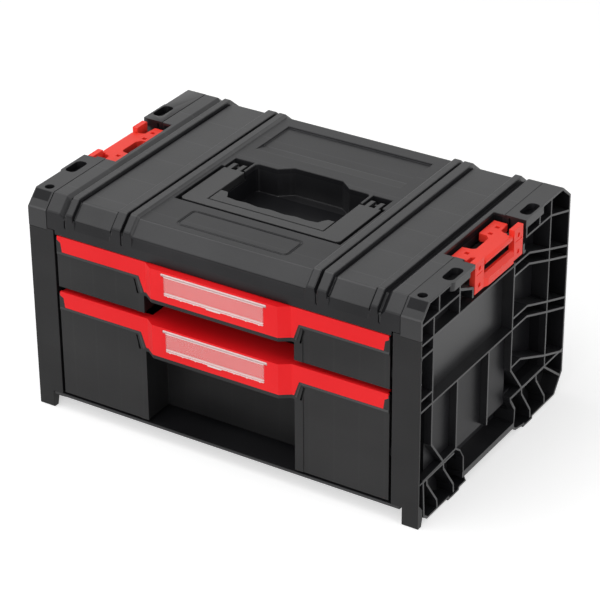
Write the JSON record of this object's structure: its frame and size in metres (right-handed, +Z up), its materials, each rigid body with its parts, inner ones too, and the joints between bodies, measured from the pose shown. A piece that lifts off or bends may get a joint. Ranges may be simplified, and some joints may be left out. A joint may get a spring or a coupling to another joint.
{
  "type": "portable tool box with drawers",
  "caption": "Portable tool box with front drawers, hinged label windows, a folding carry handle set in the lid, and swing-out latches on ribbed side panels.",
  "frame": {"origin": "middle of the footprint, on the floor", "axes": "+Z up, +X along the width, -Y out of the drawer fronts"},
  "size_m": [0.454, 0.31, 0.245],
  "materials": {
    "black_body": "fine moulded grain",
    "black_lid": "fine moulded grain",
    "black_handle": "fine moulded grain",
    "black_drawer": "fine moulded grain",
    "black_inner": "smooth",
    "red_band": "satin",
    "red_latch": "satin",
    "clear_window": "clear, lightly frosted",
    "steel": "plain turned"
  },
  "bodies": {
    "case": {"top_cover": "black_lid", "side_panel_left": "black_body", "side_panel_right": "black_body", "front_post_left": "black_body", "front_post_right": "black_body", "base_plate": "black_body", "back_panel": "black_body", "upper_runner_left": "black_inner", "upper_runner_right": "black_inner", "lower_runner_left": "black_inner", "lower_runner_right": "black_inner", "base_screws": "steel", "runner_screws": "steel", "handle_pin_left": "steel", "handle_pin_right": "steel", "lever_pin_left": "steel", "lever_pin_right": "steel"},
    "upper_drawer": {"upper_drawer_tray": "black_drawer", "upper_drawer_band": "red_band", "upper_band_screws": "steel"},
    "lower_drawer": {"lower_drawer_tray": "black_drawer", "lower_drawer_band": "red_band", "lower_band_screws": "steel"},
    "upper_label": {"upper_label_window": "clear_window"},
    "lower_label": {"lower_label_window": "clear_window"},
    "handle": {"carry_handle": "black_handle"},
    "lever_left": {"latch_lever_left": "red_latch", "claw_pin_left": "steel"},
    "lever_right": {"latch_lever_right": "red_latch", "claw_pin_right": "steel"},
    "claw_left": {"latch_claw_left": "red_latch"},
    "claw_right": {"latch_claw_right": "red_latch"}
  },
  "joints": [
    {"name": "upper_drawer_slide", "type": "slide", "parent": "case", "child": "upper_drawer", "axis": [0, -1, 0], "range_m": [0, 0.23]},
    {"name": "lower_drawer_slide", "type": "slide", "parent": "case", "child": "lower_drawer", "axis": [0, -1, 0], "range_m": [0, 0.23]},
    {"name": "upper_label_hinge", "type": "hinge", "parent": "upper_drawer", "child": "upper_label", "pos_m": [0, -0.1533, 0.2008], "axis": [-1, 0, 0], "range_deg": [0, 95]},
    {"name": "lower_label_hinge", "type": "hinge", "parent": "lower_drawer", "child": "lower_label", "pos_m": [0, -0.1533, 0.1375], "axis": [-1, 0, 0], "range_deg": [0, 95]},
    {"name": "handle_hinge", "type": "hinge", "parent": "case", "child": "handle", "pos_m": [0, 0.018, 0.237], "axis": [-1, 0, 0], "range_deg": [0, 95]},
    {"name": "lever_left_hinge", "type": "hinge", "parent": "case", "child": "lever_left", "pos_m": [-0.222, 0, 0.213], "axis": [0, -1, 0], "range_deg": [0, 95]},
    {"name": "lever_right_hinge", "type": "hinge", "parent": "case", "child": "lever_right", "pos_m": [0.222, 0, 0.213], "axis": [0, 1, 0], "range_deg": [0, 95]},
    {"name": "claw_left_hinge", "type": "hinge", "parent": "lever_left", "child": "claw_left", "pos_m": [-0.222, 0, 0.2346], "axis": [0, -1, 0], "range_deg": [0, 100]},
    {"name": "claw_right_hinge", "type": "hinge", "parent": "lever_right", "child": "claw_right", "pos_m": [0.222, 0, 0.2346], "axis": [0, 1, 0], "range_deg": [0, 100]}
  ]
}
